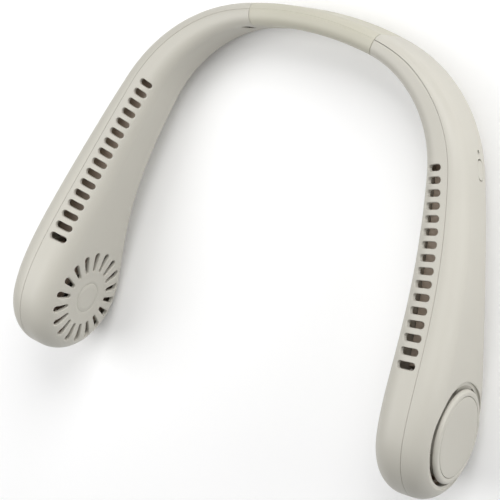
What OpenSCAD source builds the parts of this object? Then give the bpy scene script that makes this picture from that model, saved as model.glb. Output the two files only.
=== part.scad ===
// Neck fan: two hollow arms on a bendable silicone band, with a blower in the pod at each arm's end.
// Each arm follows a plan of three arcs that meet smoothly. It lies on its band and both pods.

/* [Plan of the arms] */
// Radius of the band at the nape
nape_r = 145; // [130:1:170]
// Length of the band from its middle to one arm
nape_half_len = 30.5; // [27:0.5:36]
// Radius of the bend at each shoulder
shoulder_r = 62; // [58:1:70]
// Length of arm that bends round the shoulder
shoulder_len = 66; // [60:1:70]
// Radius of the slight bend of the straight part
arm_r = 450; // [380:10:700]
// Length of arm from the shoulder bend to the pod's centre
arm_len = 101; // [99:1:112]

/* [Sections] */
// Height of the band and of the arm where it starts
neck_h = 26; // [25:0.5:28]
// Thickness of the band and of the arm where it starts
neck_t = 9.6; // [9.4:0.1:11]
// Diameter of each pod
pod_d = 56; // [55:0.5:60]
// Thickness of each pod
pod_t = 25.6; // [25:0.2:28]
// Radius of the rounded edges at the band
neck_edge_r = 4.5; // [4:0.1:4.6]
// Radius of the rounded edges at the pod
pod_edge_r = 10.5; // [10:0.1:11]
// Wall of the moulded shells
wall = 1.6; // [1.4:0.1:1.8]
// Distance of the parting line outside the middle of the arm
seam_offset = 2.4; // [2:0.1:2.8]

/* [Air slots] */
// Number of slots along the upper edge of an arm
slot_count = 16; // [12:1:17]
// Distance from slot to slot
slot_pitch = 5.1; // [4.6:0.1:5.2]
// Width of a slot along the arm
slot_w = 2.8; // [2.2:0.1:3]
// Length of the longest slot, at the pod
slot_len = 8.6; // [7:0.1:9]
// Distance of the slots' middle from the arm's middle
slot_offset = 3.8; // [3.6:0.1:4.2]
// Distance from the pod's centre to the nearest slot
slot_end_gap = 26.5; // [25:0.5:28]

/* [Grille and intake] */
// Number of slots in the round grille
grille_count = 18; // [12:1:20]
// Radius at which the grille's slots start
grille_in_r = 13; // [12.5:0.1:14]
// Distance from the pod's edge to the grille's slots
grille_edge = 6.2; // [5.4:0.1:6.6]
// Width of a grille slot at its inner end
grille_in_w = 1.6; // [1:0.1:1.8]
// Width of a grille slot at its outer end
grille_out_w = 3; // [2.4:0.1:3.4]
// Distance from the pod's edge to the round cap over the intake
cap_edge = 8.7; // [8.4:0.1:9.4]
// Width of the cap's rim
rim_w = 2.8; // [2.4:0.1:3.6]
// Height of the cap's face above the pod's face
cap_proud = 0.8; // [0.4:0.1:1.2]
// Width of the ring-shaped intake round the cap
intake_w = 1.4; // [1.2:0.1:1.8]
// Depth of the recess below the pod's face
recess_depth = 2.4; // [2:0.1:2.6]

/* [Blower] */
// Distance from the pod's edge to the impeller
impeller_edge = 7.2; // [6.8:0.1:8.5]
// Length of the impeller's blades
blade_h = 13.4; // [12:0.1:13.6]
// Number of blades
blade_count = 25; // [17:1:31]
// Radius of the motor's shaft
shaft_r = 1; // [0.75:0.05:1.25]
// Radius of the stator
stator_r = 8; // [7:0.1:8.2]

/* [Controls and power] */
// Length of the power button
button_len = 8; // [7:0.1:9]
// Width of the power button
button_w = 4.4; // [4:0.1:4.8]
// Distance from the arm's start to the power button
button_place = 64; // [62:0.5:66]
// Travel of the power button
button_travel = 0.4; // [0.2:0.05:0.5]
// Diameter of each battery cell
cell_d = 13.6; // [13:0.1:14]
// Distance from the main board to the battery cell
cell_gap = 4.5; // [3:0.5:8]
// Distance from the pod's centre to the battery cell
cell_end_gap = 35.5; // [34:0.5:40]

/* [Hidden] */
$fn = 64;

shell_colour = "#cfccc2";
band_colour = "#cbc7b4";
steel_colour = "#9a9da0";
copper_colour = "#b06a3a";
board_colour = "#2f5a3c";
dark_colour = "#33312e";

// How the height, the thickness and the rise of an arm are shared out along it
height_power = 2.8;
thickness_power = 0.7;
rise_share = 3.3;

// Clearances: between shells, between rigid pieces, round moving pieces, round soft pieces
seam_gap = 0.2;
fit_gap = 0.1;
run_gap = 0.6;
soft_gap = 0.3;
bearing_gap = 0.03;
// How far a cut runs past what it cuts, and how deep a hole through a wall is cut to each side
over = 1;
hole_depth = 3*wall;
// How far the plug of each arm reaches into the band, and into the arm
spigot_len = 8;
plug_len = 2;

// Places along an arm are lengths from the middle of the band
shoulder_end = nape_half_len + shoulder_len;
total_len = shoulder_end + arm_len;
nape_turn = nape_half_len/nape_r*180/PI;
shoulder_turn = nape_turn + shoulder_len/shoulder_r*180/PI;
pod_turn = shoulder_turn + arm_len/arm_r*180/PI;

// Plan: three arcs, each with its centre on the last normal of the one before
function normal_at(turn) = [sin(turn), cos(turn)];
nape_centre = [0, -nape_r];
shoulder_centre = nape_centre + (nape_r - shoulder_r)*normal_at(nape_turn);
arm_centre = shoulder_centre + (shoulder_r - arm_r)*normal_at(shoulder_turn);
function turn_at(s) = s <= nape_half_len ? s/nape_r*180/PI
    : s <= shoulder_end ? nape_turn + (s - nape_half_len)/shoulder_r*180/PI
    : shoulder_turn + (s - shoulder_end)/arm_r*180/PI;
function plan_at(s) = s <= nape_half_len ? nape_centre + nape_r*normal_at(turn_at(s))
    : s <= shoulder_end ? shoulder_centre + shoulder_r*normal_at(turn_at(s))
    : arm_centre + arm_r*normal_at(turn_at(s));

// The origin is under the middle of the whole fan
front_reach = (pod_d/2 - pod_edge_r)*sin(pod_turn) + (pod_t/2 - pod_edge_r)*cos(pod_turn) + pod_edge_r;
middle_y = (neck_t/2 + plan_at(total_len)[1] - front_reach)/2;

// Sections along the arm
function ease(t) = t*t*(3 - 2*t);
function along_share(s) = max(0, min(1, (s - nape_half_len)/(total_len - nape_half_len)));
function half_h(s) = (neck_h + (pod_d - neck_h)*ease(pow(along_share(s), height_power)))/2;
function half_t(s) = (neck_t + (pod_t - neck_t)*ease(pow(along_share(s), thickness_power)))/2;
function edge_r(s) = neck_edge_r + (pod_edge_r - neck_edge_r)*along_share(s);
function seam_at(s) = min(seam_offset, half_t(s)*seam_share);
seam_share = 0.42;

// The middle line rises as the pods grow, so that the arms arch between band and pods
rise = (pod_d - neck_h)/2;
function mid_z(s) = let(t = along_share(s))
    neck_h/2 + rise*(rise_share*t*t + (1 - rise_share)*t*t*t);
function slope(s) = let(t = along_share(s))
    rise*(2*rise_share*t + 3*(1 - rise_share)*t*t)/(total_len - nape_half_len);

// Axes of the arm at a place: along it, outward and upward
function unit(v) = v/norm(v);
function along(s) = unit([cos(turn_at(s)), -sin(turn_at(s)), slope(s)]);
function outward(s) = [sin(turn_at(s)), cos(turn_at(s)), 0];
function upward(s) = cross(along(s), outward(s));
function middle(s) = [plan_at(s)[0], plan_at(s)[1] - middle_y, mid_z(s)];
function arm_point(s, n, h) = middle(s) + n*outward(s) + h*upward(s);

// Draws children at a place on the arm: X along it, Y outward, Z upward
module at_arm(s) {
    x = along(s);
    y = outward(s);
    z = upward(s);
    p = middle(s);
    multmatrix([[x[0], y[0], z[0], p[0]], [x[1], y[1], z[1], p[1]], [x[2], y[2], z[2], p[2]], [0, 0, 0, 1]])
        children();
}

// Draws children on the pod's axis: Z outward, X to the front, Y down
module at_pod() at_arm(total_len) rotate([-90, 0, 0]) children();

// Draws flat shapes across the arm: X outward, Y up, Z along it
module across_arm(s) at_arm(s) rotate([90, 0, 90]) children();

module left_side() mirror([1, 0, 0]) children();

// A rectangle with round corners, centred
module round_rect(w, h, r) {
    square([w, h - 2*r], center = true);
    square([w - 2*r, h], center = true);
    for (i = [-1, 1], j = [-1, 1]) translate([i*(w/2 - r), j*(h/2 - r)]) circle(r, $fn = 32);
}

// Stations along the arm, and rings that run out above, round the pod and back below
shoulder_steps = 13;
arm_steps = 15;
pod_steps = 16;
edge_steps = 6;
// Round pieces cut from the pod or added to it start between two rings of the skin
start_turn = 90/pod_steps;
stations = concat([for (i = [0:shoulder_steps]) nape_half_len + shoulder_len*i/shoulder_steps],
    [for (i = [1:arm_steps]) shoulder_end + arm_len*i/arm_steps]);
station_count = len(stations);
ring_keys = concat([for (s = stations) [s, 0]],
    [for (k = [1:pod_steps - 1]) [total_len, 180*k/pod_steps]],
    [for (i = [station_count - 1:-1:0]) [stations[i], 180]]);
ring_count = len(ring_keys);

// A point of a ring: p is its distance from the middle line and its distance outward
function ring_point(key, p) = middle(key[0]) + p[1]*outward(key[0])
    + p[0]*(cos(key[1])*upward(key[0]) + sin(key[1])*along(key[0]));
function triangles(a, b, c, d) = [
    if (a != b && b != c && a != c) [a, b, c],
    if (a != c && c != d && a != d) [a, c, d]];

// Skins half sections, which start and end on the middle line, over all rings
module arm_skin(halves) {
    count = len(halves[0]);
    last = count - 1;
    points = [for (r = [0:ring_count - 1]) each [for (p = halves[r]) ring_point(ring_keys[r], p)]];
    // the upper and lower halves share their points on the middle line
    function station_of(r) = min(r, ring_count - 1 - r, station_count - 1);
    function id(r, q) = count*(q == 0 || q == last ? station_of(r) : r) + q;
    faces = concat(
        [for (r = [0:ring_count - 2], q = [0:last - 1])
            each triangles(id(r, q), id(r + 1, q), id(r + 1, q + 1), id(r, q + 1))],
        [for (q = [0:floor(last/2) - 1])
            each triangles(id(0, q), id(0, q + 1), id(0, last - q - 1), id(0, last - q))],
        [for (q = [0:floor(last/2) - 1])
            each triangles(id(ring_count - 1, q), id(ring_count - 1, last - q),
                id(ring_count - 1, last - q - 1), id(ring_count - 1, q + 1))]);
    polyhedron(points, faces, convexity = 8);
}

// Half of a rounded section: a is half its thickness, b half its height, r its edge radius
function edge_reach(a, b, r, n) = let(past = max(0, abs(n) - (a - r))) b - r + sqrt(max(0, r*r - past*past));
function outer_edge(a, b, r, turn) = [b - r + r*sin(turn), a - r + r*cos(turn)];
function inner_edge(a, b, r, turn) = [b - r + r*sin(turn), -(a - r + r*cos(turn))];
function turn_to(a, r, n) = acos(max(0, min(1, (n - (a - r))/r)));

// The shells meet on a tongue: its height, and how far it steps in from the outside
tongue_h = 1;
tongue_share = 0.5;
function tongue_top(s) = seam_at(s) + min(tongue_h, (half_t(s) - wall - seam_at(s))*tongue_share);
tongue_step = wall*tongue_share;

function outer_half(s) = let(
        a = half_t(s), b = half_h(s), r = edge_r(s),
        ai = a - wall, bi = b - wall, ri = r - wall,
        low = seam_at(s) + seam_gap, top = tongue_top(s) + fit_gap,
        turn = turn_to(a, r, low), turn_in = turn_to(ai, ri, top))
    concat([[0, a]],
        [for (i = [0:edge_steps - 1]) outer_edge(a, b, r, turn*i/edge_steps)],
        [[edge_reach(a, b, r, low), low]],
        [[edge_reach(a, b, r, low) - tongue_step + fit_gap, low]],
        [[edge_reach(a, b, r, top) - tongue_step + fit_gap, top]],
        [[edge_reach(ai, bi, ri, top), top]],
        [for (i = [edge_steps - 1:-1:0]) outer_edge(ai, bi, ri, turn_in*i/edge_steps)],
        [[0, ai]]);

function inner_half(s) = let(
        a = half_t(s), b = half_h(s), r = edge_r(s),
        ai = a - wall, bi = b - wall, ri = r - wall,
        low = seam_at(s), top = tongue_top(s))
    concat([[0, -ai]],
        [for (i = [0:edge_steps]) inner_edge(ai, bi, ri, 90*i/edge_steps)],
        [[edge_reach(ai, bi, ri, top), top]],
        [[edge_reach(a, b, r, top) - tongue_step, top]],
        [[edge_reach(a, b, r, low) - tongue_step, low]],
        [[edge_reach(a, b, r, low), low]],
        [for (i = [edge_steps:-1:0]) inner_edge(a, b, r, 90*i/edge_steps)],
        [[0, -a]]);

// A slot of width w and length l, centred, cut along Z to the depth d on each side
module slot(l, w, d) {
    cube([w, l - w, 2*d], center = true);
    for (side = [-1, 1]) translate([0, side*(l - w)/2, 0]) cylinder(h = 2*d, d = w, center = true, $fn = 24);
}

// Slots along the upper edge: shorter towards the band, where the arm is thinner
module air_slots() {
    for (i = [0:slot_count - 1]) {
        s = total_len - slot_end_gap - i*slot_pitch;
        l = slot_len*half_t(s)/half_t(total_len - slot_end_gap);
        at_arm(s) translate([0, -slot_offset, half_h(s)]) slot(l, slot_w, hole_depth);
    }
}

// Height of the pod's inner face above its middle plane, at a distance from the axis
function inner_level(x) = let(
        r = pod_edge_r - wall,
        past = max(0, x - (pod_d/2 - pod_edge_r)))
    pod_t/2 - pod_edge_r + sqrt(r*r - past*past);

// One tapered slot of the round grille, from its inner to its outer round end
grille_out_r = pod_d/2 - grille_edge;
grille_depth = pod_t/2 + over - inner_level(grille_out_r) + fit_gap;
module grille_slot() {
    flank = asin((grille_out_w - grille_in_w)/2/(grille_out_r - grille_in_r));
    far = grille_out_r - grille_out_w/2;
    near = grille_in_r + grille_in_w/2;
    linear_extrude(height = grille_depth) union() {
        translate([near, 0]) circle(d = grille_in_w, $fn = 16);
        translate([far, 0]) circle(d = grille_out_w, $fn = 24);
        polygon([[near, -grille_in_w/2], [far - grille_out_w/2*sin(flank), -grille_out_w/2*cos(flank)],
            [far - grille_out_w/2*sin(flank), grille_out_w/2*cos(flank)], [near, grille_in_w/2]]);
    }
}

// A fine ring groove in the bare disc inside the grille
groove_r = 6.5;
groove_w = 0.8;
groove_depth = 0.2;
module disc_groove() {
    rotate(start_turn) translate([0, 0, -pod_t/2]) rotate_extrude($fn = 96)
        polygon([[groove_r, -over], [groove_r + groove_w, -over], [groove_r + groove_w, 0],
            [groove_r + groove_w/2, groove_depth], [groove_r, 0]]);
}

// Motor bosses stand on the inside of the grille's middle
face_in = pod_t/2 - wall;
boss_h = 1.8;
boss_r = 1.9;
screw_r = 0.8;
screw_place = 9.2;
screw_count = 3;

module inner_shell() {
    color(shell_colour) difference() {
        union() {
            arm_skin([for (key = ring_keys) inner_half(key[0])]);
            at_pod() for (i = [0:screw_count - 1]) rotate(360*i/screw_count)
                translate([screw_place, 0, -face_in - wall/2])
                cylinder(h = boss_h + wall/2, r = boss_r, $fn = 24);
        }
        air_slots();
        at_pod() {
            for (i = [0:grille_count - 1]) rotate(360*i/grille_count)
                translate([0, 0, -pod_t/2 - over]) grille_slot();
            disc_groove();
            for (i = [0:screw_count - 1]) rotate(360*i/screw_count)
                translate([screw_place, 0, -face_in - wall/2])
                cylinder(h = boss_h + wall, r = screw_r + fit_gap/2, $fn = 24);
        }
    }
}

// The recess round the cap, its floor, and the bridges that carry the floor's middle. The intake reaches in
// under the cap's overhanging edge, as far as the foot that the cap stands on.
cap_r = pod_d/2 - cap_edge;
foot_inset = 1.4;
foot_r = cap_r - foot_inset;
recess_r = cap_r + intake_w;
ledge_w = 0.3;
lip_h = 0.5;
cup_wall = 0.8;
floor_top = pod_t/2 - recess_depth;
floor_t = 1.4;
bridge_turn = 16;
bridge_count = 3;
bridge_first = 290;

module intake_gap() {
    for (i = [0:bridge_count - 1]) rotate(bridge_first + bridge_turn/2 + 360*i/bridge_count)
        rotate_extrude(angle = 360/bridge_count - bridge_turn)
        translate([foot_r + fit_gap, floor_top - floor_t - over])
            square([recess_r - ledge_w - foot_r - fit_gap, floor_t + 2*over]);
}

module outer_shell_body() {
    union() {
        arm_skin([for (key = ring_keys) outer_half(key[0])]);
        at_pod() rotate(start_turn) translate([0, 0, floor_top - floor_t])
            cylinder(h = face_in - fit_gap - floor_top + floor_t, r = recess_r + cup_wall, $fn = 96);
    }
}

module recess_cuts() {
    at_pod() {
        // straight up from the floor, and then a slanted lip
        rotate(start_turn) translate([0, 0, floor_top]) {
            cylinder(h = recess_depth + over, r = recess_r, $fn = 96);
            translate([0, 0, lip_h]) cylinder(h = recess_depth + over, r1 = recess_r,
                r2 = recess_r + recess_depth + over, $fn = 96);
        }
        intake_gap();
    }
}

module left_outer_shell() {
    color(shell_colour) left_side() difference() {
        outer_shell_body();
        recess_cuts();
    }
}

// Places of the controls on the right arm, from the outer face at the button
button_s = nape_half_len + button_place;
button_drop = 3.5;
lens_r = 0.8;
lens_x = -button_len/2 - 3*lens_r;
board_deep = 5;
board_t = 1;
board_len = 26;
board_w = 10;
board_end = 2;
boss_x = board_len/2 - board_end;
board_boss_r = 1.6;
board_screw_r = 0.6;
board_screw_len = 2;

// Draws children on the outer face at the button: Z outward, X to the front, Y down
function face_point(s) = arm_point(s, half_t(s), -button_drop);
face_x = unit(face_point(button_s + button_len/2) - face_point(button_s - button_len/2));
face_z = unit(cross(upward(button_s), face_x));
function face_level(x) = (face_point(button_s + x) - face_point(button_s))*face_z;
module at_face() {
    y = cross(face_z, face_x);
    p = face_point(button_s);
    multmatrix([[face_x[0], y[0], face_z[0], p[0]], [face_x[1], y[1], face_z[1], p[1]],
        [face_x[2], y[2], face_z[2], p[2]], [0, 0, 0, 1]]) children();
}

module right_outer_shell() {
    color(shell_colour) difference() {
        union() {
            outer_shell_body();
            at_face() for (x = [-boss_x, boss_x]) translate([x, 0, -board_deep])
                cylinder(h = board_deep + face_level(x) - wall/2, r = board_boss_r, $fn = 24);
        }
        recess_cuts();
        at_face() {
            rotate(90) slot(button_len + 2*fit_gap, button_w + 2*fit_gap, hole_depth);
            translate([lens_x, 0, 0])
                cylinder(h = 2*hole_depth, r = lens_r + fit_gap, center = true, $fn = 24);
            for (x = [-boss_x, boss_x]) translate([x, 0, -board_deep - over])
                cylinder(h = over + board_screw_len, r = board_screw_r + fit_gap/2, $fn = 16);
        }
    }
}

// Cap over the intake: a ring with a rounded edge that overhangs its foot, and a plate inside it
cap_round = 1.4;
rim_t = 2;
cap_top = pod_t/2 + cap_proud;
plate_r = cap_r - rim_w;
plate_gap = 0.25;
plate_t = 1.4;
round_steps = 8;

module cap_rim() {
    color(shell_colour) at_pod() rotate_extrude($fn = 96) polygon(concat(
        [[plate_r + plate_gap, floor_top], [foot_r, floor_top], [foot_r, cap_top - rim_t],
            [cap_r, cap_top - rim_t]],
        [for (i = [0:round_steps]) [cap_r - cap_round + cap_round*cos(90*i/round_steps),
            cap_top - cap_round + cap_round*sin(90*i/round_steps)]],
        [[plate_r + plate_gap, cap_top]]));
}

module cap_plate() {
    color(shell_colour) at_pod() union() {
        translate([0, 0, cap_top - plate_t]) cylinder(h = plate_t, r = plate_r, $fn = 96);
        translate([0, 0, floor_top]) difference() {
            cylinder(h = cap_top - floor_top - plate_t/2, r = plate_r - wall);
            translate([0, 0, -over]) cylinder(h = cap_top - floor_top + over - plate_t, r = plate_r - 2*wall);
        }
    }
}

// Motor: a base plate with a bearing tube, a stator round it, and a can that turns outside
base_low = -face_in + boss_h;
base_t = 1.2;
base_r = 11.2;
tube_wall = 1.5;
bearing_wall = 0.7;
bearing_h = 2.2;
bearing_r = shaft_r + bearing_gap + bearing_wall;
tube_r = bearing_r + tube_wall;
tube_h = 9.2;
stator_h = 5.4;
stator_low = base_low + base_t + run_gap*2;
can_wall = 0.8;
can_r = stator_r + run_gap + can_wall;
screw_head_h = 0.6;
screw_head_r = 1.36;
can_low = base_low + base_t + screw_head_h + run_gap/2;
can_top = base_low + base_t + tube_h + run_gap;

module motor_base() {
    color(dark_colour) at_pod() difference() {
        union() {
            translate([0, 0, base_low]) cylinder(h = base_t, r = base_r);
            translate([0, 0, base_low]) cylinder(h = base_t + tube_h, r = tube_r, $fn = 48);
        }
        translate([0, 0, base_low + base_t])
            cylinder(h = tube_h + over, r = bearing_r, $fn = 48);
        for (i = [0:screw_count - 1]) rotate(360*i/screw_count)
            translate([screw_place, 0, base_low - over])
            cylinder(h = base_t + 2*over, r = screw_r + fit_gap, $fn = 24);
    }
}

module bearings() {
    color(steel_colour) at_pod() for (z = [base_low + base_t, base_low + base_t + tube_h - bearing_h])
        translate([0, 0, z]) difference() {
            cylinder(h = bearing_h, r = bearing_r, $fn = 48);
            translate([0, 0, -over]) cylinder(h = bearing_h + 2*over, r = shaft_r + bearing_gap, $fn = 48);
        }
}

module motor_screws() {
    color(steel_colour) at_pod() for (i = [0:screw_count - 1]) rotate(360*i/screw_count)
        translate([screw_place, 0, base_low + base_t]) {
            cylinder(h = screw_head_h, r = screw_head_r, $fn = 24);
            translate([0, 0, -boss_h - base_t]) cylinder(h = boss_h + base_t, r = screw_r, $fn = 24);
        }
}

// Stator: teeth with round shoes on a ring, and a coil round each tooth
tooth_count = 9;
window_share = 0.7;
opening_share = 0.24;
coil_w = 2.2;
ring_wall = 1.3;
shoe_wall = 0.8;
module stator_cut(share, from, to) {
    turn = 360/tooth_count*share;
    rotate(-turn/2) rotate_extrude(angle = turn) translate([from, -over])
        square([to - from, stator_h + 2*over]);
}
module stator() {
    ring_r = tube_r + ring_wall;
    shoe_r = stator_r - shoe_wall;
    coil_start = ring_r - ring_wall/2;
    color(copper_colour) at_pod() translate([0, 0, stator_low]) union() {
        difference() {
            cylinder(h = stator_h, r = stator_r);
            translate([0, 0, -over]) cylinder(h = stator_h + 2*over, r = tube_r, $fn = 48);
            for (i = [0:tooth_count - 1]) rotate(360*(i + 1/2)/tooth_count) {
                stator_cut(window_share, ring_r, shoe_r);
                stator_cut(opening_share, shoe_r - shoe_wall/2, stator_r + over);
            }
        }
        for (i = [0:tooth_count - 1]) rotate(360*i/tooth_count)
            translate([coil_start, -coil_w/2, -coil_w/4])
            cube([shoe_r - fit_gap - coil_start, coil_w, stator_h + coil_w/2]);
    }
}

module rotor_can() {
    color(steel_colour) at_pod() difference() {
        translate([0, 0, can_low]) cylinder(h = can_top + can_wall - can_low, r = can_r);
        translate([0, 0, can_low - over]) cylinder(h = can_top - can_low + over, r = can_r - can_wall);
        translate([0, 0, can_top - over]) cylinder(h = can_wall + 2*over, r = shaft_r, $fn = 48);
    }
}

module shaft() {
    color(steel_colour) at_pod() translate([0, 0, base_low + base_t + soft_gap])
        cylinder(h = can_top + can_wall - base_low - base_t - soft_gap, r = shaft_r, $fn = 48);
}

// Impeller: forward-curved blades between two rings, on a disc and a hub that fits over the can
impeller_r = pod_d/2 - impeller_edge;
hub_wall = 1;
disc_t = 1.2;
blade_in_share = 0.66;
blade_t = 0.7;
blade_lean = 24;
blade_steps = 5;
ring_w = 1.2;
ring_t = 1;
impeller_low = -blade_h/2;
disc_low = can_top + can_wall;

// Middle line of a blade: the radius grows evenly while the angle sweeps forward, faster at the tip
function blade_line(i, side) = let(
        share = i/blade_steps,
        r = impeller_r*(blade_in_share + (1 - blade_in_share)*share),
        angle = blade_lean*(share*share - share/2) + side*blade_t/2/r*180/PI)
    [r*cos(angle), r*sin(angle)];

module blade() {
    linear_extrude(height = blade_h - ring_t) polygon(concat(
        [for (i = [0:blade_steps]) blade_line(i, -1)],
        [for (i = [blade_steps:-1:0]) blade_line(i, 1)]));
}

module impeller() {
    hub_r = can_r + hub_wall;
    hub_low = can_low + run_gap;
    disc_r = impeller_r*blade_in_share + ring_w;
    color("#e4e2da") at_pod() union() {
        rotate_extrude() polygon([[can_r, hub_low], [hub_r, hub_low], [hub_r, disc_low],
            [disc_r, disc_low], [disc_r, disc_low + disc_t], [0, disc_low + disc_t],
            [0, disc_low], [can_r, disc_low]]);
        for (i = [0:blade_count - 1]) rotate(360*i/blade_count)
            translate([0, 0, impeller_low + ring_t/2]) blade();
        for (z = [impeller_low, -impeller_low - ring_t]) rotate_extrude($fn = 96)
            translate([impeller_r - ring_w, z]) square([ring_w + fit_gap, ring_t]);
    }
}

// Air guide: a wall round the impeller, and a floor under the slots that closes at the band's end
guide_t = 1.2;
scroll_gap = 2.6;
scroll_r = impeller_r + fit_gap + scroll_gap;
scroll_h = 2*(inner_level(scroll_r + guide_t) - run_gap);
guide_low = 3;
guide_start = total_len - sqrt(pow(scroll_r + guide_t/2, 2) - guide_low*guide_low);
guide_end = total_len - slot_end_gap - slot_count*slot_pitch;
guide_steps = 10;
scroll_from = -90;
scroll_to = 180 + asin((guide_low + guide_t)/scroll_r);

function guide_side(s) = half_t(s) - wall - soft_gap;
function guide_ring(s) = [for (c = [[-1, 0], [1, 0], [1, 1], [-1, 1]])
    arm_point(s, c[0]*guide_side(s), guide_low + c[1]*guide_t)];

// Skins a list of closed rings, each with as many points as the next, into a solid
module ring_skin(rings) {
    n = len(rings[0]);
    m = len(rings);
    polyhedron([for (ring = rings) each ring], concat(
        [for (i = [0:m - 2], j = [0:n - 1]) let(k = (j + 1) % n)
            each triangles(i*n + j, i*n + k, i*n + n + k, i*n + n + j)],
        [for (j = [1:n - 2]) [0, j + 1, j]],
        [for (j = [1:n - 2]) [(m - 1)*n, (m - 1)*n + j, (m - 1)*n + j + 1]]), convexity = 6);
}

module air_guide() {
    end_w = 2*guide_side(guide_end);
    end_h = 2*(half_h(guide_end) - wall - soft_gap);
    color("#d8d6cd") union() {
        at_pod() rotate(scroll_from) rotate_extrude(angle = scroll_to - scroll_from, $fn = 96)
            translate([scroll_r, -scroll_h/2]) square([guide_t, scroll_h]);
        ring_skin([for (i = [0:guide_steps])
            guide_ring(guide_start + (guide_end - guide_start)*i/guide_steps)]);
        across_arm(guide_end) linear_extrude(height = guide_t) intersection() {
            round_rect(end_w, end_h, edge_r(guide_end) - wall - soft_gap);
            translate([-end_w/2, guide_low]) square([end_w, end_h/2 - guide_low]);
        }
    }
}

// Battery cell under the air guide, with its cap and sleeve as one solid. The floor over it arches, so the
// straight cell lies lower by the arch's height.
cell_start = button_s + board_len/2 + cell_gap;
cell_len = total_len - cell_end_gap - cell_start;
cell_s = cell_start + cell_len/2;
cell_arch = max(0, mid_z(cell_s) - (mid_z(cell_s - cell_len/2) + mid_z(cell_s + cell_len/2))/2);
cell_low = guide_low - soft_gap - cell_arch - cell_d/2;
tip_len = 1.5;
tip_share = 0.3;
module battery() {
    color("#4a6f8f") at_arm(cell_s) translate([-cell_len/2, 0, cell_low]) rotate([0, 90, 0]) union() {
        cylinder(h = cell_len - tip_len, d = cell_d);
        cylinder(h = cell_len, d = cell_d*tip_share, $fn = 32);
    }
}

// Lead from the neck plug to the motor: it lies in the lower inner corner and rises to the base plate
lead_r = 0.6;
lead_sides = 6;
lead_steps = 28;
lead_n_share = 0.8;
lead_h_share = 0.72;
lead_rise_share = 0.35;
lead_start = nape_half_len + plug_len + soft_gap;
lead_end = total_len - (base_r + soft_gap)*cos(45);
function lead_h(s) = let(
        low = lead_h_share*(half_h(s) - wall), high = (base_r + soft_gap + lead_r)*sin(45),
        up = ease(max(0, 1 - (lead_end - s)/(lead_rise_share*arm_len))))
    -low*(1 - up) - high*up;
module motor_lead() {
    color(dark_colour) ring_skin([for (i = [0:lead_steps])
        let(s = lead_start + (lead_end - lead_start)*i/lead_steps,
            p = arm_point(s, -lead_n_share*(half_t(s) - wall), lead_h(s)))
        [for (k = [0:lead_sides - 1]) let(turn = 360*k/lead_sides)
            p + lead_r*(cos(turn)*outward(s) + sin(turn)*upward(s))]]);
}

// Band: a hollow silicone sleeve over two wires that keep its bend, and a cable between the arms
sleeve_wall = 1.5;
wire_r = 0.8;
wire_place = 6;
cable_r = 1.2;
sleeve_half_turn = (nape_half_len - soft_gap)/nape_r*180/PI;

// Sweeps a flat shape along the band between two turns from its middle
module along_band(from, to) {
    translate([0, -nape_r - middle_y, neck_h/2]) rotate(90 - to) rotate_extrude(angle = to - from, $fn = 360)
        translate([nape_r, 0]) children();
}

module neck_sleeve() {
    color(band_colour) along_band(-sleeve_half_turn, sleeve_half_turn) difference() {
        round_rect(neck_t, neck_h, neck_edge_r);
        round_rect(neck_t - 2*sleeve_wall, neck_h - 2*sleeve_wall, neck_edge_r - sleeve_wall);
    }
}

module memory_wires() {
    color(steel_colour) along_band(-sleeve_half_turn, sleeve_half_turn)
        for (side = [-1, 1]) translate([0, side*wire_place]) circle(wire_r, $fn = 24);
}

module neck_cable() {
    color(dark_colour) along_band(-sleeve_half_turn, sleeve_half_turn) circle(cable_r, $fn = 24);
}

// Plug that closes the arm and reaches into the sleeve, drilled for the wires and the cable
module neck_plug() {
    gap = soft_gap;
    spigot_turn = (nape_half_len - spigot_len)/nape_r*180/PI;
    block_w = neck_t - 2*wall - 4*gap;
    block_h = neck_h - 2*wall - 4*gap;
    inset = sleeve_wall + gap;
    color(dark_colour) union() {
        along_band(spigot_turn, nape_turn) difference() {
            round_rect(neck_t - 2*inset, neck_h - 2*inset, neck_edge_r - inset);
            for (side = [-1, 1]) translate([0, side*wire_place]) circle(wire_r + gap, $fn = 24);
            circle(cable_r + gap, $fn = 24);
        }
        across_arm(nape_half_len) translate([0, 0, -gap/2]) linear_extrude(height = plug_len + gap/2)
            round_rect(block_w, block_h, neck_edge_r - wall - 2*gap);
    }
}

// Charging port in the inner wall of the left arm, upright on a small board
port_w = 3.2;
port_len = 9;
port_deep = 6.2;
port_place = 6.5;
port_rise = 3;
port_wall = 0.35;
contact_w = 0.7;
contact_share = 0.72;
port_s = nape_half_len + port_place;
port_sunk = 0.3;
usb_board_len = 8;
usb_board_h = 15;
usb_board_t = 0.8;

// Draws children at the port's mouth: X along the arm, Y up, Z into the arm
module at_port() at_arm(port_s) translate([0, -half_t(port_s), port_rise])
    rotate([90, 0, 0]) mirror([0, 0, 1]) children();

module left_inner_shell() {
    color(shell_colour) left_side() difference() {
        inner_shell();
        at_port() slot(port_len + 2*fit_gap, port_w + 2*fit_gap, hole_depth);
    }
}

module right_inner_shell() {
    inner_shell();
}

module usb_port() {
    color(steel_colour) left_side() at_port() translate([0, 0, port_sunk]) {
        difference() {
            translate([0, 0, port_deep/2]) slot(port_len, port_w, port_deep/2);
            translate([0, 0, port_deep/2 - port_wall])
                slot(port_len - 2*port_wall, port_w - 2*port_wall, port_deep/2);
        }
        translate([-contact_w/2, -port_len*contact_share/2, 2*port_wall])
            cube([contact_w, port_len*contact_share, port_deep - 2.5*port_wall]);
    }
}

module usb_board() {
    color(board_colour) left_side() at_port()
        translate([-usb_board_len/2, -usb_board_h/2 - port_rise, port_sunk + port_deep])
        cube([usb_board_len, usb_board_h, usb_board_t]);
}

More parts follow.
